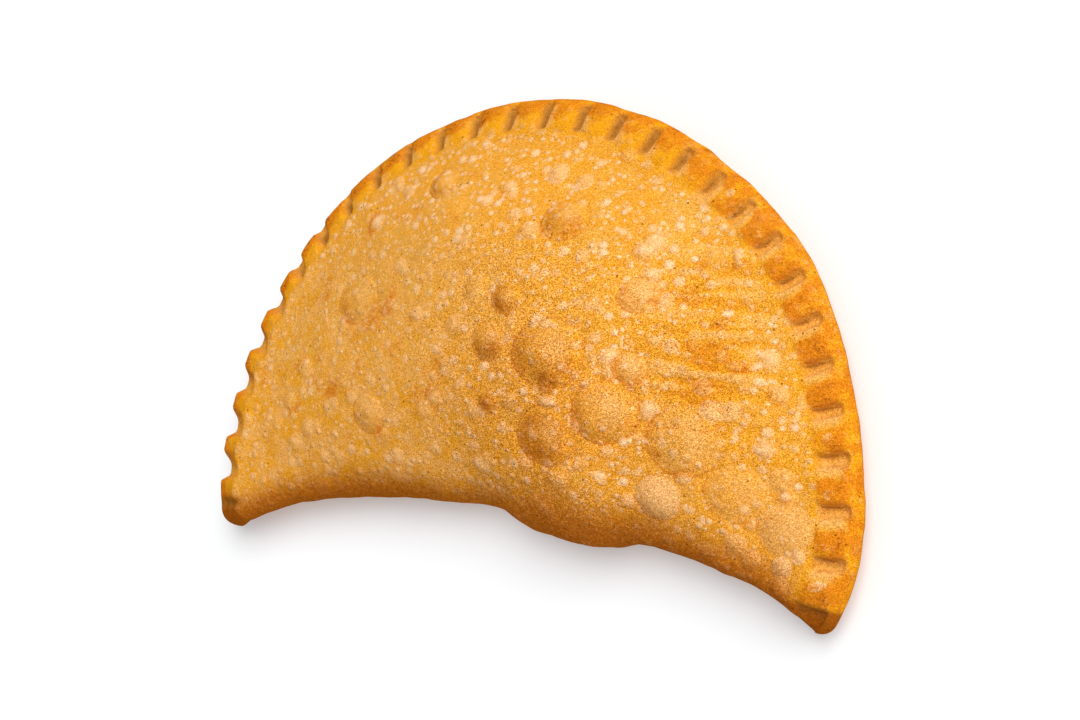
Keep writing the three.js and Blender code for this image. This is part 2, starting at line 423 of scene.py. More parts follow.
def crimp_angle(form, place):
    """Angle of the rim at a place counted in crimps from its top.

    The pitches are even but for a lean, a bunching by a cosine and a shift by a bell.
    """
    shift = bell(place, *CRIMP_SHIFT)
    bunch = CRIMP_BUNCH * np.cos(2 * np.pi * place / (form.crimp_count - 1))
    return np.pi / 2 + form.crimp_pitch * place - CRIMP_LEAN - bunch + shift


def crimp_place(form, angle):
    """The inverse of crimp_angle, by repeated substitution."""
    place = (angle - np.pi / 2) / form.crimp_pitch
    for _ in range(3):
        place = place + (angle - crimp_angle(form, place)) / form.crimp_pitch
    return place


def tip_angles(form):
    """Angles at which the rim ends, right and left."""
    return crimp_angle(form, np.array([-1.0, 1.0]) * tip_pitches(form))


def crimp_rise(form, place):
    """1 on top of a crimp, with a step up from the groove on its right and a slope down on its left.

    Crimps grow rounder towards the left end. Past the last one the dough stays as high as its middle.
    """
    at = np.minimum(place, (form.crimp_count - 1) / 2)
    off = at - np.round(at)
    knobbed = ease(*KNOB_FROM, at)
    step = [plain + (knob - plain) * knobbed for plain, knob in zip(CRIMP_STEP, KNOB_STEP)]
    slope = [plain + (knob - plain) * knobbed for plain, knob in zip(CRIMP_SLOPE, KNOB_SLOPE)]
    rise = ease(*step, off) * (1 - ease(*slope, off))
    return np.where(place < -form.crimp_count / 2, 0, rise)


def rim_radius(form, angle):
    """A circle with slow wavers and, on the left, a knob at each crimp.

    Towards a tip it draws in by the square of the way past, and a quarter-round ends it bluntly.
    """
    place = crimp_place(form, angle)
    knob = KNOB * (crimp_rise(form, place) - 0.5)
    radius = form.rim_radius + knob * ease(*KNOB_FROM, place)
    for waver in WAVERS:
        radius = radius + bell(place, *waver)
    right, left = tip_angles(form)
    for end, to_tip in enumerate((angle - right, left - angle)):
        radius = radius - TIP_DRAW[end] * np.clip(1 - to_tip / TIP_EASE, 0, 1) ** 2
        radius = radius - NOSE_DRAW[end] * (1 - round_over(to_tip / NOSE_EASE[end]))
    return radius


def rim_point(form, angle):
    """Plan point of the rim's edge at an angle."""
    return rim_radius(form, angle)[..., None] * np.stack([np.cos(angle), np.sin(angle)], -1)


def tips(form):
    """Plan points of the right and left tips."""
    return rim_point(form, tip_angles(form))


def fold_point(form, share):
    """A line from tip to tip, raised by a flat-topped arch.

    A flat-topped bulge pushes it out, and so does a lobe beside the left tip, the difference of two
    exponential falls.
    """
    right, left = tips(form)
    x = right[0] + (left[0] - right[0]) * share
    out = np.abs(2 * share - 1)
    power = np.where(share < 0.5, *FOLD_POWER)
    arch = 1 - FOLD_ROUND * out**2 - (1 - FOLD_ROUND) * out**power
    bulge = np.exp(-(((x - BULGE_X) / BULGE_SPREAD) ** 4))
    beside = np.maximum(x - left[0], 0)
    lobe = np.exp(-beside / LOBE_FADE) - np.exp(-beside / LOBE_FROM)
    rise = form.fold_rise * arch - BULGE_DEPTH * bulge - LOBE_DEPTH * lobe
    y = right[1] + (left[1] - right[1]) * share + rise
    return x, y


def plan_point(form, share, depth):
    """Along the rim by share, and inwards by depth.

    Depth runs from the edge (0) straight in over the rim band (1) and on to the fold (2).
    """
    angle = crimp_angle(form, (2 * share - 1) * tip_pitches(form))
    narrowing = np.minimum(np.minimum(share, 1 - share) / BAND_EASE, 1)
    radius = rim_radius(form, angle) - RIM_BAND * narrowing * np.minimum(depth, 1)
    fold_x, fold_y = fold_point(form, share)
    out = 2 - np.maximum(depth, 1)
    x = fold_x + (radius * np.cos(angle) - fold_x) * out
    y = fold_y + (radius * np.sin(angle) - fold_y) * out
    return x, y


def skins(form, x, y):
    """Upper and lower heights over the plan, with the distances that the finish needs.

    The rim is a drooping slab with grooves. The dome is the root of the distance from the fold times
    a power of 1 - (r / R)², and the belly the same downwards, flattened softly by the table.
    """
    right, left = tips(form)
    radius = np.hypot(x, y)
    turned = np.arctan2(y, x)
    angle = np.where(turned < -np.pi / 2, turned + 2 * np.pi, turned)
    place = crimp_place(form, angle)
    inset = np.maximum(rim_radius(form, angle) - radius, 0)
    fold_gap = np.maximum(y - fold_point(form, (right[0] - x) / (right[0] - left[0]))[1], 0)
    right_gap = np.hypot(x - right[0], y - right[1])
    left_gap = np.hypot(x - left[0], y - left[1])
    swell = round_over(fold_gap / NOSE_ROUND) * round_over(inset / RIM_ROUND)
    sag = TIP_DROOP * np.clip(1 - right_gap / TIP_REACH, 0, 1) ** SAG_POWER
    seam = form.rim_edge_height + math.tan(form.rim_droop) * np.minimum(inset, form.rim_width) - sag

    within = np.maximum(1 - (radius / form.dome_radius) ** 2, 0) * np.clip(inset / RIM_ROUND, 0, 1)
    dome = np.sqrt(fold_gap / form.dome_radius) * within**DOME_POWER / DOME_PEAK
    crease = CREASE_DEPTH * swell * (1 - ease(0, CREASE_WIDTH, form.dome_radius - radius))
    opened = inset + SLOT_OPEN * ease(*KNOB_FROM, place)
    span = ease(*SLOT_OUTER, opened) * (1 - ease(*SLOT_INNER, inset)) * ease(*SLOT_CLEAR, left_gap)
    floor = form.slot_depth * (1 - SLOT_RAMP * np.clip(1 - opened / SLOT_INNER[0], 0, 1))
    crimp = crimp_rise(form, place)

    rim_top = seam + swell * (form.rim_upper - floor * span * (1 - crimp))
    dome_top = seam + form.dome_rise * dome - crease
    rim_under = seam - swell * form.rim_lower
    belly = seam - form.belly_depth * dome + crease
    under = -soft_max(-rim_under, -belly, RIM_BLEND * swell)
    return SimpleNamespace(
        upper=soft_max(rim_top, dome_top, RIM_BLEND * swell),
        lower=soft_max(under, 0, TABLE_BLEND),
        place=place, inset=inset, fold_gap=fold_gap, right_gap=right_gap, left_gap=left_gap,
        swell=swell, crimp=crimp, span=span)


def section_rows(form):
    """Depths of the rows round a section, at equal lengths of arc across the middle of the turnover.

    The upper skin's rows run from the edge to the fold. The lower skin's run back again, closer at
    both ends.
    """
    fine = np.linspace(0, 2, 4001)
    x, y = plan_point(form, 0.5, fine)
    made = skins(form, x, y)

    def spaced(height, shares):
        arc = np.concatenate([[0], np.cumsum(np.hypot(np.diff(y), np.diff(height)))])
        return np.interp(shares * arc[-1], arc, fine)

    upper = spaced(made.upper, np.linspace(0, 1, UPPER_ROWS + 1))
    crowded = 0.5 - 0.5 * np.cos(np.pi * np.linspace(0, 1, UNDER_ROWS + 1))
    even = np.linspace(0, 1, UNDER_ROWS + 1)
    under = spaced(made.lower, EVEN_UNDER * even + (1 - EVEN_UNDER) * crowded)
    return upper, under


def station_shares():
    """Even stations along the rim, crowded by a square law at both tips."""
    station = np.arange(1, STATIONS)
    near = np.minimum(station, STATIONS - station)
    even = np.where(near < TIP_STATIONS, near**2 / TIP_STATIONS / 2, near - TIP_STATIONS / 2)
    share = even / (STATIONS - TIP_STATIONS)
    return np.where(station < STATIONS / 2, share, 1 - share)


def cell_draws(cells, seed, count):
    """Random numbers from 0 to 1 for lattice cells, the same each time for the same cell."""
    key = np.bitwise_xor.reduce(cells * CELL_PRIMES, axis=-1)
    table = np.random.default_rng(seed).random((CELL_DRAWS, count))
    return table[key % len(table)]


def lattice_noise(points, cell, seed):
    """Numbers from -1 to 1 drawn at lattice corners and eased between them."""
    base = np.floor(points / cell).astype(np.int64)
    part = points / cell - base
    part = part * part * (3 - 2 * part)
    total = np.zeros(points.shape[:-1])
    for corner in np.ndindex(2, 2, 2):
        weight = np.prod(np.where(np.array(corner) == 1, part, 1 - part), -1)
        total += weight * (2 * cell_draws(base + np.array(corner), seed, 1)[..., 0] - 1)
    return total


def layered_noise(points, layers, seed):
    """Sum of lattice noises, each with its own cell, height and draw."""
    return sum(height * lattice_noise(points, cell, seed + draw) for cell, height, draw in layers)


def lit_way(x, y):
    """How far a plan step leads towards the lit side."""
    return LIT_SIDE[0] * x + LIT_SIDE[1] * y


def strewn_caps(points, cell, radii, kept, seed):
    """Round caps where spheres strewn one to a lattice cell cut the surface.

    A cap is 1 - (distance / radius)² of its sphere, and below 0 outside it. Gives the tallest cap at
    each point, with its sphere's radius and drawn tone, and how far the point faces away from the
    lit side. kept is the share of spheres that stay, and may change from point to point.
    """
    base = np.floor(points / cell).astype(np.int64)
    best = np.full(points.shape[:-1], -1.0)
    size, tone, lee = (np.zeros(points.shape[:-1]) for _ in range(3))
    for step in np.ndindex(3, 3, 3):
        cells = base + np.array(step) - 1
        draw = cell_draws(cells, seed, 6)
        centre = (cells + draw[..., :3]) * cell
        radius = radii[0] + (radii[1] - radii[0]) * draw[..., 3] ** 2
        away = points - centre
        cap = 1 - np.sum(away**2, -1) / radius**2
        cap = np.where(draw[..., 4] < kept, cap, -1)
        taller = cap > best
        size = np.where(taller, radius, size)
        tone = np.where(taller, draw[..., 5], tone)
        lee = np.where(taller, -lit_way(away[..., 0], away[..., 1]) / radius, lee)
        best = np.maximum(best, cap)
    return SimpleNamespace(cap=best, size=size, tone=tone, lee=np.clip(lee, -1, 1))


def large_blisters(x, y):
    """Relief, outline, paleness, ring and browning of the listed blisters.

    Each is a power of 1 - (r / R)², the outline, with a shallow moat round it. Its ring, a real
    browning, is darker on the side away from the light as painted shade, with a band of painted shade
    inside it there. Its crown's browning is real, laid more on that side and on the side that faces the
    fold as painted shade, and the lit side of its crown is paler as a painted highlight.
    """
    relief, moat, pale, ring, toast, bake = (np.zeros_like(x) for _ in range(6))
    outline = np.full_like(x, -1)
    for blister in BLISTERS:
        across, along, radius, height = (size * MM for size in blister[:4])
        edge, crown = blister[4:]
        brown = max(crown, 0)
        dx = (x - across) / BLISTER_STRETCH
        dy = y - along
        away = np.hypot(dx, dy) / radius
        cap = np.maximum(1 - away**2, -1)
        relief = np.maximum(relief, height * np.clip(cap, 0, 1) ** BLISTER_POWER)
        moat = np.maximum(moat, height * bell(away, *MOAT))

        reach = radius * np.maximum(away, 0.2)
        lee = 0.5 - 0.5 * lit_way(dx, dy) / reach
        fold_side = 0.5 - 0.5 * dy / reach
        shaded = np.maximum(lee, fold_side)
        # Painted shade: a soft band of browning inside the ring, on the side away from the light and
        # towards the fold
        toast += 0.4 * edge * bell(away, 0.8, 0.2) * shaded**2
        # Real browning of the crown, laid more towards the fold and away from the light as painted
        # shade
        toast += 0.4 * brown * ease(0, 0.7, cap) * fold_side
        bake += 0.7 * brown * ease(-0.05, 0.6, cap) * (0.4 + 0.6 * shaded)
        # Painted shade: even browning over the side of the dome away from the light
        bake += 0.22 * edge * ease(-0.25, 0.4, cap) * ease(0.45, 1, lee) * ease(0.2, 0.9, away)

        nearest = cap > outline
        # Painted highlight: paleness on the lit side of the crown
        lit = 0.5 * edge * ease(0.3, 0.9, cap) * (1 - lee)
        pale = np.where(nearest, max(-crown, 0) + lit, pale)
        # The ring is darker on the side away from the light: painted shade
        ring = np.where(nearest, edge * (0.4 + 0.6 * lee), ring)
        outline = np.maximum(outline, cap)
    return SimpleNamespace(
        relief=relief - moat, outline=outline, pale=pale, ring=ring, toast=toast, bake=bake)


def crimp_toast(made, off, band, right_side, draw):
    """Browning of the crimps: a square on the right, a brink at the top, a blot on each, the edge."""
    square = ease(*SQUARE_RIGHT, off) * (1 - ease(*SQUARE_LEFT, off)) * band * right_side
    brink = ease(*BRINK_LEFT, off) * (1 - ease(*BRINK_REACH, made.inset)) * (1 - right_side)
    blot_off = 0.1 - 0.22 * right_side + 0.16 * (draw[0] - 0.5)
    blot_in = (2.8 + 0.6 * right_side + 1.2 * (draw[1] - 0.5)) * MM
    blot = band * bell(off, blot_off, BLOT_SPREAD[0]) * bell(made.inset, blot_in, BLOT_SPREAD[1])
    toast = square * (0.6 + 0.15 * draw[2]) + (0.4 - 0.3 * right_side) * blot
    toast = made.crimp * (toast + (0.4 + 0.4 * draw[2]) * brink)
    edge_reach = (3.6 + 1.6 * ease(*WIDER_FROM, made.place)) * MM
    toast += (0.35 + 0.2 * made.crimp) * (1 - ease(0.2 * MM, edge_reach, made.inset))
    outer = made.crimp * (1 - ease(*TOAST_REACH, made.inset))
    return toast + 0.45 * ease(*TOASTED_FROM, made.place) * outer


def crimp_finish(form, made):
    """Browning, tan, depth with painted shade, a painted highlight, fullness and a small blister for
    each crimp along the rim.

    On the right a crimp has a browned square with a pale ridge above it, which is a painted highlight,
    at the top a browned left and outer edge. Grooves are tan, with painted shade at the foot of the
    steep side of a crimp.
    """
    number = np.round(made.place).astype(int)
    off = made.place - number
    draws = np.random.default_rng(form.seed + 10).random((CRIMP_DRAWS, 5))
    draw = np.moveaxis(draws[number + CRIMP_DRAWS // 2], -1, 0)
    right_side = ease(*RIGHT_FROM, -made.place)
    left_side = ease(*LEFT_FROM, made.place)
    band = ease(*BAND_OUTER, made.inset) * (1 - ease(*SLOT_INNER, made.inset))
    crease = bell(made.place, *TIP_CREASE) * (1 - ease(*TIP_CREASE_REACH, made.inset))
    # The crease beside the left tip is browned darker: painted shade
    toast = crimp_toast(made, off, band, right_side, draw) + 0.9 * crease

    sunk = (1 - made.crimp) * made.span
    # Painted shade: dark at the foot of the steep side of each crimp, deep in the groove
    from_foot = np.mod(CRIMP_STEP[1] - 0.04 - off, 1)
    dark = 1 - ease(0.06, 0.3 - 0.17 * right_side, from_foot)
    dark = dark * ease(0.8 * MM, (2.6 + 2 * right_side) * MM, made.inset)
    dark = dark * (1 - 0.65 * ease(*FAINTER_FROM, made.place))
    # Painted highlight: a pale ridge on the slope of each crimp that faces the light
    pale_and_highlit_ridge = band * (0.45 - 0.05 * right_side) * (1 - left_side) * bell(off, *RIDGE_HIGHLIGHT)
    pillow = PAD_RISE * band * made.crimp * bell(off, 0, PAD_SPREAD) * (1 - left_side)

    pitch = form.rim_radius * form.crimp_pitch
    aside = (off + 0.05 - 0.3 * (draw[3] - 0.5)) * pitch
    inward = made.inset - (3.4 + 2 * (draw[4] - 0.5)) * MM
    dot = np.where(right_side > 0.5, 1 - (aside**2 + inward**2) / DOT_RADIUS**2, -1)
    return SimpleNamespace(
        toast=toast, sunk=sunk, dark=sunk * dark, pale_and_highlit_ridge=pale_and_highlit_ridge, dot=np.maximum(dot, -1),
        crease=crease, pillow=pillow)


def plain_crust(form):
    """Points and normals of the plain form, as a ring of rows at each station from tip to tip.

    Heights come from skins. A normal is the cross product of the steps along the rim and round it.
    """
    upper_rows, under_rows = section_rows(form)
    depth = np.concatenate([upper_rows, under_rows[-2:0:-1]])[None, :]
    top = np.concatenate([np.ones(UPPER_ROWS + 1), np.zeros(UNDER_ROWS - 1)])[None, :]
    x, y = plan_point(form, station_shares()[:, None], depth)
    made = skins(form, x, y)
    points = np.stack([x, y, np.where(top > 0, made.upper, made.lower)], -1)
    along = np.gradient(points, axis=0)
    round_section = np.roll(points, -1, 1) - np.roll(points, 1, 1)
    normal = np.cross(along, round_section)
    normal /= np.maximum(np.linalg.norm(normal, axis=-1, keepdims=True), 1e-12)
    return SimpleNamespace(**vars(made), x=x, y=y, top=top, points=points, normal=normal)


def oval(made, region):
    """A soft oval in plan: a bell along x times a bell along y."""
    x, y, wide, deep = region
    return bell(made.x, x, wide) * bell(made.y, y, deep)


def crust_regions(form, made):
    """Shares that say where the crust is inside its rim, beside its fold, wrinkled or at a tip.

    Wrinkles are streaks of lattice noise drawn out along x, from -1 in a furrow to 1 on a ridge.
    """
    arch = bell(made.x, *STRIP_ARCH)
    reach = STRIP_REACH + bell(made.x, *STRIP_BULGE) - STRIP_NARROWER * arch
    reach = reach + STRIP_WIDER * ease(*STRIP_RIGHT, made.x)

    wrinkled = oval(made, WRINKLES)
    combed = np.stack(
        [STREAK_DRAW * made.x, made.y - STREAK_SLANT * made.x, np.zeros_like(made.x)], -1)
    wave = np.clip(STREAK_CONTRAST * lattice_noise(combed, STREAK_WIDTH, form.seed + 6), -1, 1)

    nearest_tip = np.minimum(made.right_gap, made.left_gap)
    tip = 1 - ease(*TIP_FADE, nearest_tip)
    right_end = 1 - ease(*RIGHT_END_PLACE, made.place)
    right_end = right_end * (1 - ease(*RIGHT_END_REACH, made.right_gap))
    left_end = 1 - ease(*TIP_FADE, made.left_gap)
    return SimpleNamespace(
        inner=ease(*RIM_FADE, made.inset), nose=1 - ease(0, reach, made.fold_gap), arch=arch,
        wrinkled=wrinkled, streaks=wrinkled * wave,
        furrows=wrinkled * np.clip(-wave, 0, 1), ridges=wrinkled * np.clip(wave, 0, 1),
        tip=tip, brown_tip=np.maximum(left_end, right_end * (0.75 + 0.25 * tip)),
        clear_of_tips=ease(*TIP_CALM, nearest_tip))


def crust_relief(form, made, part, big, rim, strewn):
    """How far the crust rises along its normal: lumps, blisters, wrinkles, pads and an uneven edge.

    The relief fades out at the table and at the seam of the two skins, the uneven edge at the table.
    """
    domed = 1 + 0.3 * lattice_noise(made.points, DOME_CELL, form.seed + 17)
    rough = 0.18 + 0.14 * ease(*ROUGHER_X, made.x)
    sunken = TIP_CREASE_DEPTH * rim.crease * ease(*TIP_CREASE_DEEPENS, made.inset)
    relief = layered_noise(made.points, LUMPS, form.seed) * part.inner
    relief += big.relief * domed * made.top * made.swell
    relief += STREAK_HEIGHT * part.streaks * made.top
    raised = rough * strewn.size * np.clip(strewn.cap, 0, 1)
    relief += raised * part.inner * (1 - 0.7 * part.nose)
    relief += (DOT_RISE * np.clip(rim.dot, 0, 1) - sunken + rim.pillow) * made.top
    height = made.points[..., 2]
    relief = relief * ease(*RELIEF_LIFT, height) * np.minimum(made.swell * 3, 1)
    edge = np.maximum(part.nose, 0.8 * (1 - part.inner)) * part.clear_of_tips
    edge = edge * ease(*EDGE_LIFT, height)
    return relief + layered_noise(made.points, UNEVEN_EDGE, form.seed) * edge


def crust_browning(form, made, part, big, rim, strewn):
    """Browning in spots (toast) and even browning (bake) over the crust, partly painted shade."""
    seed = form.seed
    inner, top = part.inner, made.top
    broken = np.clip(0.8 + 0.7 * lattice_noise(made.points, SPOT_CELL, seed + 13), 0, 1.6)
    warm = np.clip(lattice_noise(made.points, CLOUD_CELL, seed + 12) - 0.1, 0, 1)
    # Painted shade: browning round the edge of each strewn blister, on its side away from the light
    lee_shade = bell(strewn.cap, 0.05, 0.2) * np.clip(strewn.lee, 0, 1)
    toast = (big.toast * top + rim.toast) * broken
    toast += (0.2 + 0.3 * (1 - ease(*GRITTIER_X, made.x))) * warm * inner * broken
    toast += 0.36 * part.furrows * top
    toast += 0.3 * lee_shade * inner * broken

    patchy = np.clip(1 + 1.1 * lattice_noise(made.points, PATCH_CELL, seed + 18), 0.2, 1.9)
    bake = np.maximum(part.nose * (1 - 0.22 * part.arch), TIP_BAKE * part.brown_tip)
    bake += 0.25 * (1 - top)
    bake += 0.1 * (1 - ease(*FOLD_WARMTH, made.fold_gap))
    bake += (0.28 * oval(made, BROWNED_MIDDLE) + big.bake * patchy) * top
    # Painted shade: slightly browner towards the top on the left, where the crust faces the light
    bake += 0.06 * ease(*SHADE_FROM_Y, made.y) * (1 - ease(*SHADE_FADES_X, made.x)) * inner
    return np.clip(toast, 0, 1), np.clip(bake, 0, TIP_BAKE)


def crust_masks(form, made, part, big, rim, strewn):
    """Finish of the crust at each point, with painted shade and highlights, as named values for the
    material.
    """
    x, y = made.x, made.y
    inner, top = part.inner, made.top
    toast, bake = crust_browning(form, made, part, big, rim, strewn)
    froth = np.maximum(ease(*FROTHIER_X, x), ease(*FROTHIER_Y, y))
    froth = 0.6 + 0.4 * froth + 0.3 * ease(*FROTHIEST_X, x) * ease(*FROTHIEST_Y, y)
    froth = froth * (1 - 0.25 * part.wrinkled - 0.5 * part.furrows)
    froth = froth * (1 - 0.4 * part.nose) * (0.15 + 0.85 * inner)
    grit = 0.45 + 0.3 * ease(*GRITTIER_X, x) + 0.4 * oval(made, GRITTY_MIDDLE)
    grit = grit * (1 - 0.3 * ease(*SMOOTHER_Y, y)) * (0.85 + 0.15 * inner)
    # Crowns: real paleness, with a painted highlight on the lit side of each large blister
    crown = np.where(rim.dot > big.outline, 0.6, big.pale)
    return {
        "bubble": strewn.cap,
        # Tone of the strewn blisters, cut on their side away from the light: their paleness is a
        # painted highlight on the lit side and painted shade on the other
        "tone": (0.3 + 0.7 * strewn.tone) * (1 - 0.6 * ease(-0.4, 0.8, strewn.lee)),
        "froth": froth,
        "grit": grit,
        "dull": 0.45 * oval(made, DULL_CORNER) * inner * top,
        "blister": np.where(top > 0, np.maximum(big.outline, rim.dot), -1),
        "crown": crown * top * (1 - 0.5 * part.nose),
        # Rings of the large blisters, darker on their side away from the light: painted shade
        "ring": big.ring * top,
        # Painted highlight on the crimps' ridges, and paleness on the ridges of the wrinkles
        "pale_and_highlit_ridge": np.maximum(rim.pale_and_highlit_ridge, 0.4 * part.ridges) * top,
        "rich": np.maximum(1 - inner, (0.2 * part.wrinkled + 0.8 * part.furrows) * top),
        # Browning in spots, with painted shade on the blisters' sides away from the light and in the
        # crease by the left tip
        "toast": toast,
        # Even browning, with painted shade on the large blisters' sides away from the light and towards
        # the top left
        "bake": bake,
        "groove": rim.sunk * top * (1 - part.tip),
        # Painted shade at the foot of the crimps' steep sides and in the crease by the left tip
        "slot": np.maximum(rim.dark * (1 - part.tip), 0.85 * rim.crease) * top,
    }


def crust_surface(form):
    """Points and finish masks of the crust: the plain form moved along its normal by the relief.

    The rings come first, station by station, and the two tips last.
    """
    seed = form.seed
    made = plain_crust(form)
    part = crust_regions(form, made)
    drift = [BLISTER_DRIFT * lattice_noise(made.points, DRIFT_CELL, seed + draw) for draw in (1, 2)]
    big = large_blisters(made.x + drift[0], made.y + drift[1])
    rim = crimp_finish(form, made)
    kept = 0.62 + 0.3 * lattice_noise(made.points, CROWD_CELL, seed + 3)
    strewn = strewn_caps(made.points * PATTERN, STREWN_CELL, STREWN_RADII, kept, seed + 4)
    # Few strewn blisters show on the large ones
    strewn.cap = strewn.cap - 0.8 * ease(-0.2, 0.25, big.outline) * made.top

    relief = crust_relief(form, made, part, big, rim, strewn)
    made.points = made.points + made.normal * relief[..., None]
    made.points[..., 2] = np.maximum(made.points[..., 2], 0)
    masks = crust_masks(form, made, part, big, rim, strewn)

    poles = np.column_stack([tips(form), form.rim_edge_height - np.array([TIP_DROOP, 0])])
    points = np.concatenate([made.points.reshape(-1, 3), poles])
    points[:, :2] += dough_centre(form)
    masks = {name: np.concatenate([mask.ravel(), (0, 0)]) for name, mask in masks.items()}
    masks["bake"][-2:] = TIP_BAKE
    return points, masks


def dough_centre(form):
    """Plan place of the dough round's centre in the frame.

    The frame's origin is the middle of the outline's box.
    """
    rim = rim_point(form, np.linspace(*tip_angles(form), 2001))
    return -(rim.min(0) + rim.max(0)) / 2


def ring_faces(rings, count):
    """Corner lists of the quads between neighbouring rings and the triangles that close both ends."""
    ring = np.arange(rings - 1)[:, None] * count
    step = np.arange(count)
    ahead = (step + 1) % count
    quads = np.stack([ring + step, ring + count + step, ring + count + ahead, ring + ahead], -1)
    last = (rings - 1) * count
    first_fan = np.column_stack([np.full(count, rings * count), step, ahead])
    last_fan = np.column_stack([np.full(count, rings * count + 1), last + ahead, last + step])
    return [*quads.reshape(-1, 4).tolist(), *first_fan.tolist(), *last_fan.tolist()]


def masked_mesh(name, points, faces, masks):
    """A smooth mesh, with each mask as a named value at its points."""
    mesh = bpy.data.meshes.new(name)
    mesh.from_pydata(points, [], faces, shade_flat=False)
    for mask, values in masks.items():
        layer = mesh.attributes.new(mask, "FLOAT", "POINT")
        layer.data.foreach_set("value", values.astype(np.float32))
    if mesh.validate():
        raise RuntimeError(f"{name} has faces that don't close")
    return mesh


class Nodes:
    """Short ways to add and join the nodes of one tree."""

    def __init__(self, tree):
        self.tree = tree

    def feed(self, socket, value):
        """Links a socket to an input, or sets the input's own value. A colour gets full alpha."""
        if isinstance(value, bpy.types.NodeSocket):
            self.tree.links.new(value, socket)
        else:
            socket.default_value = (*value, 1) if socket.type == "RGBA" else value

    def fill(self, node, **values):
        """Sets a node's properties or inputs by name. A socket as the value is linked."""
        for name, value in values.items():
            if hasattr(node, name):
                setattr(node, name, value)
            else:
                self.feed(node.inputs[name.replace("_", " ")], value)
        return node

    def add(self, kind, **values):
        """A new node, filled in."""
        return self.fill(self.tree.nodes.new(kind), **values)

    def reckon(self, operation, *values):
        """One kind of arithmetic on two or more values, taken in turn."""
        result = values[0]
        for value in values[1:]:
            node = self.add("ShaderNodeMath", operation=operation)
            self.feed(node.inputs[0], result)
            self.feed(node.inputs[1], value)
            result = node.outputs[0]
        return result

    plus = partialmethod(reckon, "ADD")
    minus = partialmethod(reckon, "SUBTRACT")
    times = partialmethod(reckon, "MULTIPLY")
    most = partialmethod(reckon, "MAXIMUM")

    def ramp(self, value, low, high, start=0.0, end=1.0):
        """A smooth step from start at low to end at high."""
        node = self.add("ShaderNodeMapRange", interpolation_type="SMOOTHSTEP")
        for socket, given in zip(node.inputs[:5], (value, low, high, start, end)):
            self.feed(socket, given)
        return node.outputs[0]

    def paint(self, colour, *coats):
        """A colour under coats of other colours, each laid on by its share."""
        for share, coat in coats:
            node = self.add("ShaderNodeMix", data_type="RGBA")
            for number, value in ((0, share), (6, colour), (7, coat)):
                self.feed(node.inputs[number], value)
            colour = node.outputs[2]
        return colour

    def mask(self, name):
        """A named value of the mesh."""
        return self.add("ShaderNodeAttribute", attribute_name=name).outputs["Fac"]

    def noise(self, vector, per_mm, detail, roughness):
        """Noise with that many features to the millimetre."""
        node = self.add(
            "ShaderNodeTexNoise", Vector=vector, Scale=per_mm, Detail=detail, Roughness=roughness)
        return node.outputs["Fac"]

    def cells(self, vector, per_mm):
        """Distance from the nearest of strewn points, and three numbers drawn for each point."""
        node = self.add("ShaderNodeTexVoronoi", feature="F1", Vector=vector, Scale=per_mm)
        drawn = self.add("ShaderNodeSeparateColor", Color=node.outputs["Color"])
        return node.outputs["Distance"], drawn.outputs


def bubble_group():
    """Node group of small round caps in the drawn cells of a Voronoi pattern.

    A cap is 1 - (distance / radius)², down to -1 outside it and in the other cells. Tone is drawn
    for each.
    """
    tree = bpy.data.node_groups.new("small_bubbles", "ShaderNodeTree")
    tree.interface.new_socket("Vector", in_out="INPUT", socket_type="NodeSocketVector")
    for name in ("Per mm", "Smallest", "Largest", "Kept"):
        tree.interface.new_socket(name, in_out="INPUT", socket_type="NodeSocketFloat")
    for name in ("Cap", "Tone"):
        tree.interface.new_socket(name, in_out="OUTPUT", socket_type="NodeSocketFloat")
    nodes = Nodes(tree)
    given = nodes.add("NodeGroupInput").outputs
    distance, drawn = nodes.cells(given["Vector"], given["Per mm"])
    spread = nodes.minus(given["Largest"], given["Smallest"])
    radius = nodes.plus(given["Smallest"], nodes.times(spread, nodes.times(drawn[0], drawn[0])))
    away = nodes.reckon("POWER", nodes.reckon("DIVIDE", distance, radius), 2.0)
    raised = nodes.most(nodes.minus(2.0, away), 0.0)
    kept = nodes.reckon("LESS_THAN", drawn[1], given["Kept"])
    cap = nodes.minus(nodes.times(raised, kept), 1.0)
    tone = nodes.ramp(drawn[2], 0.0, 1.0, 0.3, 1.0)
    nodes.add("NodeGroupOutput", Cap=cap, Tone=tone)
    return tree


def principled(name):
    """A new material, its nodes and its shader."""
    material = bpy.data.materials.new(name)
    material.use_nodes = True
    tree = material.node_tree
    return material, Nodes(tree), tree.nodes["Principled BSDF"]


def crust_patterns(nodes, names):
    """The mesh's masks of these names, noises, specks and small bubbles, to mix the finish from."""
    place = nodes.add("ShaderNodeTexCoord").outputs["Object"]
    scale = [share / MM for share in PATTERN]
    in_mm = nodes.add("ShaderNodeMapping", Vector=place, Scale=scale).outputs[0]
    masks = {name: nodes.mask(name) for name in names}
    noises = {name: nodes.noise(in_mm, *setting) for name, setting in NOISES.items()}
    group = bubble_group()
    smallest, largest = BUBBLE_RADII
    small, fine = (
        nodes.add("ShaderNodeGroup", node_tree=group, Vector=in_mm, Per_mm=per_mm, Smallest=smallest,
                  Largest=largest, Kept=kept)
        for per_mm, kept in (SMALL_BUBBLES, FINE_BUBBLES))
    clear = nodes.times(masks["froth"], nodes.ramp(masks["blister"], -0.1, 0.2, 1.0, 0.65))
    speck = nodes.cells(in_mm, SPECKS_PER_MM)[1][0]
    return SimpleNamespace(
        **masks, **noises, in_mm=in_mm, small=small, fine=fine, clear=clear, speck=speck)


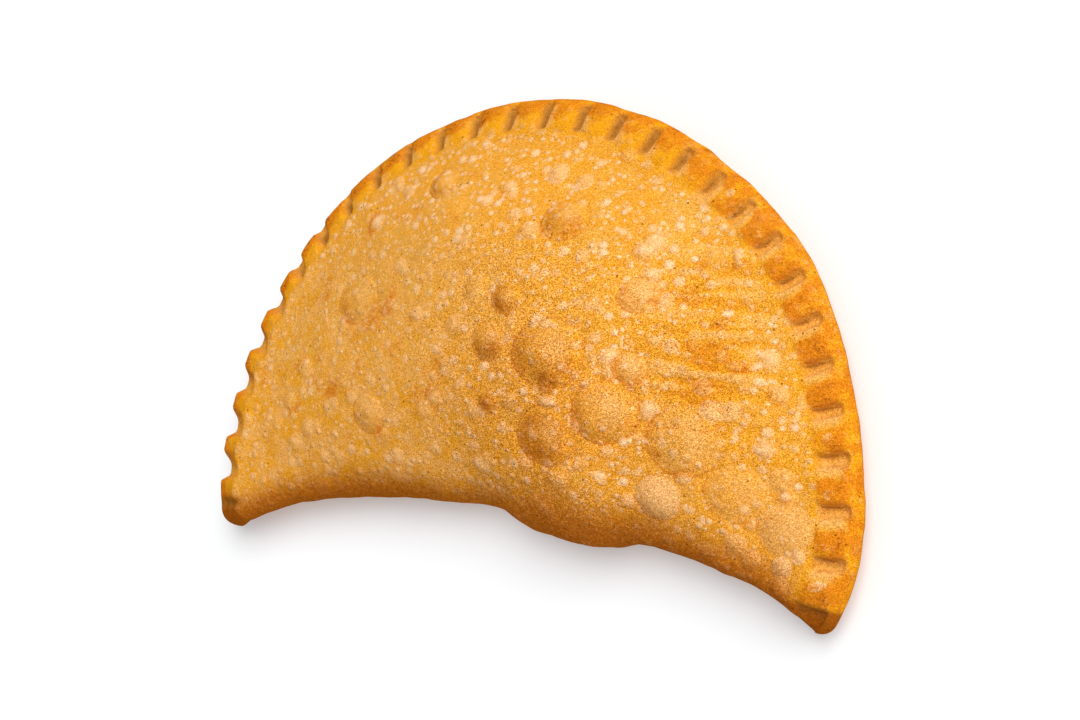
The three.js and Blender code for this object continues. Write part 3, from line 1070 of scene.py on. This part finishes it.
def ground_colour(nodes, look, crust):
    """Gold mottled with amber, with a pale veil on the left and a duller ground at the upper left."""
    depth = nodes.plus(
        nodes.times(crust.broad, 0.4), nodes.times(crust.mottle, 0.6),
        nodes.ramp(crust.froth, 0.97, 1.22, 0.13, -0.22), nodes.times(crust.rich, 0.45))
    veil = nodes.times(
        nodes.ramp(crust.froth, 0.6, 0.95, 0.3, 0.04), nodes.ramp(crust.patches, 0.35, 0.65),
        nodes.ramp(crust.rich, 0.0, 0.6, 1.0, 0.0))
    dull = nodes.times(crust.dull, nodes.ramp(crust.patches, 0.35, 0.65, 1.0, 0.0))
    return nodes.paint(
        look.golden, (nodes.ramp(depth, 0.42, 0.66), look.amber), (veil, look.pale), (dull, look.tan))


def bubbled_colour(nodes, look, crust, colour):
    """Pale bubbles, crowns of the large blisters and ridges of the crimps, with painted highlights on
    the lit sides of the blisters and on the crimps' ridges.

    Gives the colour, and the tops of the bubbles, for their painted highlights, and the rings round
    them for the next layers.
    """
    layers = (
        (crust.bubble, crust.tone, 0.8), (*crust.small.outputs, 1.0), (*crust.fine.outputs, 0.85))
    discs, bubble_highlights, rings = [], [], []
    for cap, tone, share in layers:
        drawn = nodes.times(tone, share)
        discs.append(nodes.times(nodes.ramp(cap, -0.05, 0.15), drawn))
        bubble_highlights.append(nodes.times(nodes.ramp(cap, 0.25, 0.95), drawn))
        ring = nodes.times(nodes.ramp(cap, -0.7, -0.1), nodes.ramp(cap, -0.08, 0.1, 1.0, 0.0))
        rings.append(nodes.times(ring, share))
    strewn = nodes.times(nodes.most(*discs), crust.clear, 0.75)
    crown = nodes.times(nodes.ramp(crust.blister, -0.05, 0.2), crust.crown)
    colour = nodes.paint(colour, (nodes.most(strewn, crown, crust.pale_and_highlit_ridge), look.pale))
    return colour, nodes.most(*bubble_highlights), nodes.most(*rings)


def browned_colour(nodes, look, crust, colour, rings):
    """Browning in spots and rings, part of it painted shade, even browning of the fold and the tips,
    then the pressed grooves and the painted shade at their foot.
    """
    # Ring lines of the large blisters, darker on their side away from the light: painted shade
    line = nodes.times(
        nodes.ramp(crust.blister, -0.2, -0.05), nodes.ramp(crust.blister, 0.0, 0.14, 1.0, 0.0),
        crust.ring, 0.45)
    toast = nodes.times(nodes.plus(crust.toast, line), nodes.ramp(crust.crumb, 0.3, 0.7, 0.5, 1.4))
    cloud = nodes.times(nodes.minus(crust.mottle, 0.5), 0.3)
    toast = nodes.plus(toast, cloud, nodes.times(rings, crust.froth, 0.2))
    bake = nodes.times(nodes.plus(crust.bake, line), nodes.ramp(crust.crumb, 0.3, 0.7, 0.8, 1.2))
    return nodes.paint(
        colour,
        (nodes.ramp(toast, 0.08, 0.55), look.orange),
        (nodes.ramp(toast, 0.8, 1.5), look.brown),
        (bake, look.bake),
        (nodes.ramp(bake, 0.95, 1.5, 0.0, 0.8), look.brown),
        (nodes.times(crust.groove, 0.5), look.tan),
        # Painted shade at the foot of the grooves and in the crease by the left tip
        (nodes.times(crust.slot, 0.9), look.slot))


def grained_colour(nodes, look, crust, colour, bubble_highlights):
    """Dark and bright grain, warmer where the crust is frothy, and painted highlights on the tops of
    the bubbles.
    """
    dim = nodes.times(nodes.ramp(crust.speck, 0.0, 0.5, 0.95, 0.0), crust.grit)
    warm = nodes.times(dim, nodes.ramp(crust.froth, 0.85, 1.05, 0.0, 0.9))
    dark = nodes.times(dim, nodes.ramp(crust.froth, 0.85, 1.05, 1.0, 0.28))
    lit = nodes.ramp(crust.speck, 0.5, 1.0)
    # Painted highlights: the tops of the bubbles and the brightest specks are laid on in the highlight
    # colour
    bubble_highlights = nodes.times(bubble_highlights, nodes.ramp(crust.froth, 0.85, 1.05, 0.45, 0.75))
    glint = nodes.plus(bubble_highlights, nodes.times(lit, 0.2))
    glint = nodes.times(glint, crust.clear, nodes.ramp(crust.bake, 0.0, 1.0, 1.0, 0.3))
    colour = nodes.paint(colour, (warm, look.orange), (dark, look.brown), (glint, look.highlight_and_speck))
    light = nodes.plus(nodes.times(lit, crust.grit, 0.72), 1.0)
    light = nodes.times(light, nodes.ramp(crust.pebbles, 0.2, 0.8, 0.94, 1.06))
    return nodes.add("ShaderNodeVectorMath", operation="SCALE", Vector=colour, Scale=light).outputs[0]


def burnt_pits(nodes, crust):
    """A small dot in about a fifth of the cells of a coarse pattern."""
    distance, drawn = nodes.cells(crust.in_mm, PITS_PER_MM)
    dot = nodes.ramp(distance, 0.08, 0.18, 1.0, 0.0)
    return nodes.times(dot, nodes.ramp(drawn[0], 0.80, 0.82))


def crust_material(look, names):
    """Fried dough: gold under pale bubbles, browning, grain and burnt pits, with painted shade and
    highlights and a fine bump.

    names are those of the masks that the mesh carries.
    """
    material, nodes, shader = principled("fried_crust")
    crust = crust_patterns(nodes, names)
    pits = burnt_pits(nodes, crust)
    colour = ground_colour(nodes, look, crust)
    colour, bubble_highlights, rings = bubbled_colour(nodes, look, crust, colour)
    colour = browned_colour(nodes, look, crust, colour, rings)
    colour = grained_colour(nodes, look, crust, colour, bubble_highlights)
    colour = nodes.paint(colour, (nodes.times(pits, 0.7), look.pore))
    roughness = nodes.plus(nodes.times(crust.mottle, 0.2), look.roughness)

    rise = nodes.times(crust.mottle, MOTTLE_RISE)
    for bubbles, height in ((crust.small, SMALL_RISE), (crust.fine, FINE_RISE)):
        cap = nodes.reckon("POWER", nodes.most(bubbles.outputs["Cap"], 0.0), 1.3)
        rise = nodes.plus(rise, nodes.times(cap, height))
    rise = nodes.minus(rise, nodes.times(pits, PIT_DEPTH))
    surface = nodes.add("ShaderNodeBump", Strength=0.8, Distance=MM, Height=rise)
    nodes.fill(
        shader, Base_Color=colour, Roughness=roughness, Specular_IOR_Level=0.0,
        Normal=surface.outputs[0])
    return material


def floor_material(stage):
    """Plain pale floor with a little light of its own."""
    material, nodes, shader = principled("pale_floor")
    nodes.fill(
        shader, Base_Color=stage.floor, Roughness=0.9, Specular_IOR_Level=0.0,
        Emission_Color=WHITE, Emission_Strength=stage.floor_glow)
    return material


def put(scene, name, data):
    """A new object in the scene."""
    made = bpy.data.objects.new(name, data)
    scene.collection.objects.link(made)
    return made


class TURNOVER_OT_crust(bpy.types.Operator):
    """Build the blistered crust in place of the plain solid"""

    bl_idname = "turnover.crust"
    bl_label = "Crust"

    def execute(self, context):
        form = context.scene.turnover_form
        points, masks = crust_surface(form)
        faces = ring_faces(STATIONS - 1, UPPER_ROWS + UNDER_ROWS)
        mesh = masked_mesh("pastry_crust", points, faces, masks)
        mesh.materials.append(crust_material(context.scene.turnover_look, masks))
        crust = put(context.scene, "pastry_crust", mesh)
        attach(crust, "root")
        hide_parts("pastry")
        return {"FINISHED"}


class TURNOVER_OT_stage(bpy.types.Operator):
    """Set the floor, the light and the camera"""

    bl_idname = "turnover.stage"
    bl_label = "Stage"

    def execute(self, context):
        scene = context.scene
        stage = scene.turnover_stage
        half = stage.floor_size / 2
        corners = [(-half, -half), (half, -half), (half, half), (-half, half)]
        corners = [(*corner, -FLOOR_DROP) for corner in corners]
        mesh = bpy.data.meshes.new("floor")
        mesh.from_pydata(corners, [], [(0, 1, 2, 3)])
        mesh.materials.append(floor_material(stage))
        floor = put(scene, "floor", mesh)

        key = bpy.data.lights.new("key", "SUN")
        key.energy = stage.key_strength
        key.angle = stage.key_softness
        lamp = put(scene, "key", key)
        lamp.rotation_euler = stage.key_from.to_track_quat("Z", "Y").to_euler()

        world = bpy.data.worlds.new("soft_box")
        world.use_nodes = True
        sky = world.node_tree.nodes["Background"]
        Nodes(world.node_tree).fill(sky, Strength=stage.fill_strength, Color=WHITE)
        scene.world = world
        scene.view_settings.view_transform = "Standard"

        centre = Vector((*dough_centre(scene.turnover_form), 0))
        spot = centre + stage.camera_from
        back = (stage.camera_from - stage.camera_aim).normalized()
        upright = Vector((-math.sin(stage.camera_turn), math.cos(stage.camera_turn), 0))
        right = upright.cross(back).normalized()
        turn = Matrix((right, back.cross(right), back)).transposed().to_4x4()
        lens = bpy.data.cameras.new("camera")
        lens.lens = stage.lens
        lens.sensor_width = FILM_WIDTH
        scene.camera = put(scene, "camera", lens)
        scene.camera.matrix_world = Matrix.Translation(spot) @ turn
        return {"FINISHED"}


class TURNOVER_PT_panel(bpy.types.Panel):
    """Steps and sizes of the turnover"""

    bl_label = "Fried Turnover"
    bl_idname = "TURNOVER_PT_panel"
    bl_space_type = "VIEW_3D"
    bl_region_type = "UI"
    bl_category = "Turnover"

    def draw(self, context):
        for step in STEPS:
            self.layout.operator(step.bl_idname)
        for group in GROUPS:
            box = self.layout.box()
            settings = getattr(context.scene, group)
            for name in GROUPS[group].__annotations__:
                box.prop(settings, name)


STEPS = (TURNOVER_OT_crust, TURNOVER_OT_stage)
GROUPS = {
    "turnover_form": TurnoverForm,
    "turnover_look": TurnoverLook,
    "turnover_stage": TurnoverStage,
}


def register():
    """Make the settings, the steps and the panel known."""
    for name, group in GROUPS.items():
        bpy.utils.register_class(group)
        setattr(bpy.types.Scene, name, PointerProperty(type=group))
    for cls in (*STEPS, TURNOVER_PT_panel):
        bpy.utils.register_class(cls)


def unregister():
    """Undo register."""
    for cls in (TURNOVER_PT_panel, *reversed(STEPS)):
        bpy.utils.unregister_class(cls)
    for name, group in reversed(GROUPS.items()):
        delattr(bpy.types.Scene, name)
        bpy.utils.unregister_class(group)


def main():
    """Build everything in order."""
    register()
    bpy.ops.turnover.crust()
    bpy.ops.turnover.stage()


if __name__ == "__main__":
    main()
